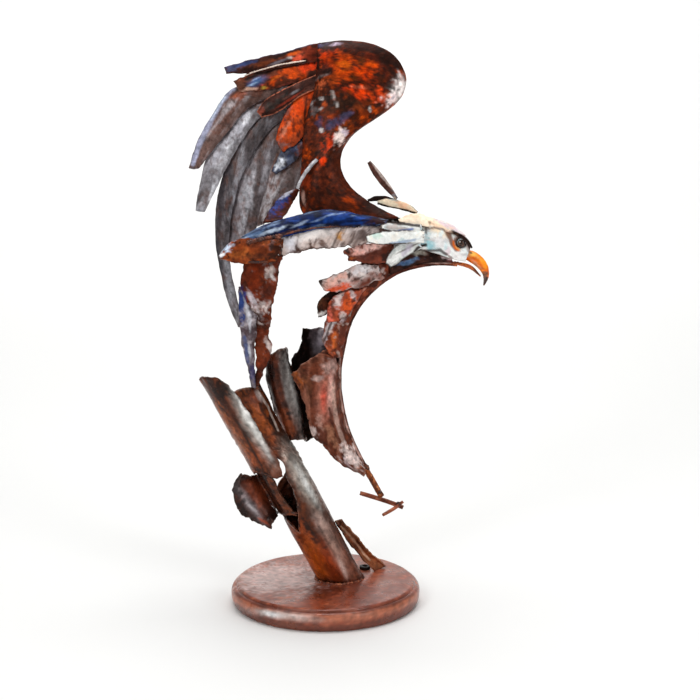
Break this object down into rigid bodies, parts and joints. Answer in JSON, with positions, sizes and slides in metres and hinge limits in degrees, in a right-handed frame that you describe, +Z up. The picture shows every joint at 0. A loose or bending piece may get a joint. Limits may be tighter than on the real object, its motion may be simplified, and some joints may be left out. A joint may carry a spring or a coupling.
{
  "type": "bird sculpture",
  "caption": "Welded sheet-metal eagle with a raised wing, layered feathers and a hooked beak, on a torn leaning tube trunk and a round turned base. Decorative table piece.",
  "frame": {"origin": "centre of the base's underside", "axes": "+Z up; +X is where the beak points; -Y is the side that the picture shows"},
  "size_m": [0.3026, 0.193, 0.5669],
  "materials": {
    "trunk_bark": "dark brown patina, semi-gloss",
    "trunk_rust": "rust brown patina, semi-gloss",
    "base_patina": "mottled red-brown patina, satin",
    "wing_red": "orange-red patina over dark brown, semi-gloss",
    "feather_brown": "dark brown patina, semi-gloss",
    "feather_grey": "steel grey, brushed and lacquered",
    "feather_slate": "dark slate, satin",
    "feather_blue": "cobalt blue with dark streaks, semi-gloss",
    "feather_pale": "pinkish white with dark patches, satin",
    "head_white": "creamy white with pale tints, satin",
    "crest_cream": "cream, satin",
    "inner_dark": "nearly black brown, satin",
    "breast_pink": "pink-white and orange over brown, satin",
    "leg_orange": "orange brown, satin",
    "beak_horn": "bright orange with a dark tip, gloss",
    "eye_dark": "dark brown, gloss"
  },
  "bodies": {
    "root": {"base_disc": "base_patina", "beak_lower": "beak_horn", "beak_upper": "beak_horn", "breast_plate": "wing_red", "breast_rim": "trunk_rust", "breast_scale_dark": "inner_dark", "breast_scale_low": "breast_pink", "breast_scale_middle": "breast_pink", "breast_scale_top": "breast_pink", "brow_far": "inner_dark", "brow_near": "inner_dark", "cheek_feather_low": "head_white", "cheek_feather_low_far": "head_white", "cheek_feather_middle": "head_white", "cheek_feather_middle_far": "head_white", "cheek_feather_top": "head_white", "cheek_feather_top_far": "head_white", "crest_cream": "crest_cream", "crest_dark": "inner_dark", "crest_upright": "inner_dark", "cross_toe": "trunk_rust", "eye_far": "eye_dark", "eye_near": "eye_dark", "foot_ring": "inner_dark", "head_shell": "head_white", "inner_plate": "inner_dark", "leg_bar": "leg_orange", "long_toe": "trunk_rust", "nape_feather": "crest_cream", "near_wing_arm": "feather_blue", "near_wing_cover": "feather_pale", "near_wing_tip": "trunk_rust", "neck_plate_far": "inner_dark", "neck_web": "inner_dark", "shoulder_saddle": "inner_dark", "thigh_plate": "wing_red", "throat_plate": "inner_dark", "throat_plate_far": "inner_dark", "trunk_left_lobe": "trunk_bark", "trunk_right_lobe": "trunk_bark", "trunk_shard": "trunk_rust", "trunk_side_strip": "trunk_rust", "trunk_tube": "trunk_bark", "trunk_twig": "trunk_rust", "wing_bright_bar": "feather_grey", "wing_covert_low": "feather_blue", "wing_covert_middle": "wing_red", "wing_covert_top": "feather_brown", "wing_edge_feather": "wing_red", "wing_gusset": "feather_blue", "wing_plume_left": "feather_blue", "wing_plume_right": "feather_brown", "wing_plume_upper": "feather_brown", "wing_primary_1": "feather_brown", "wing_primary_2": "feather_grey", "wing_primary_3": "feather_slate", "wing_primary_4": "feather_grey", "wing_primary_5": "feather_grey", "wing_shield": "wing_red", "wing_top_feather": "feather_brown"}
  },
  "joints": []
}
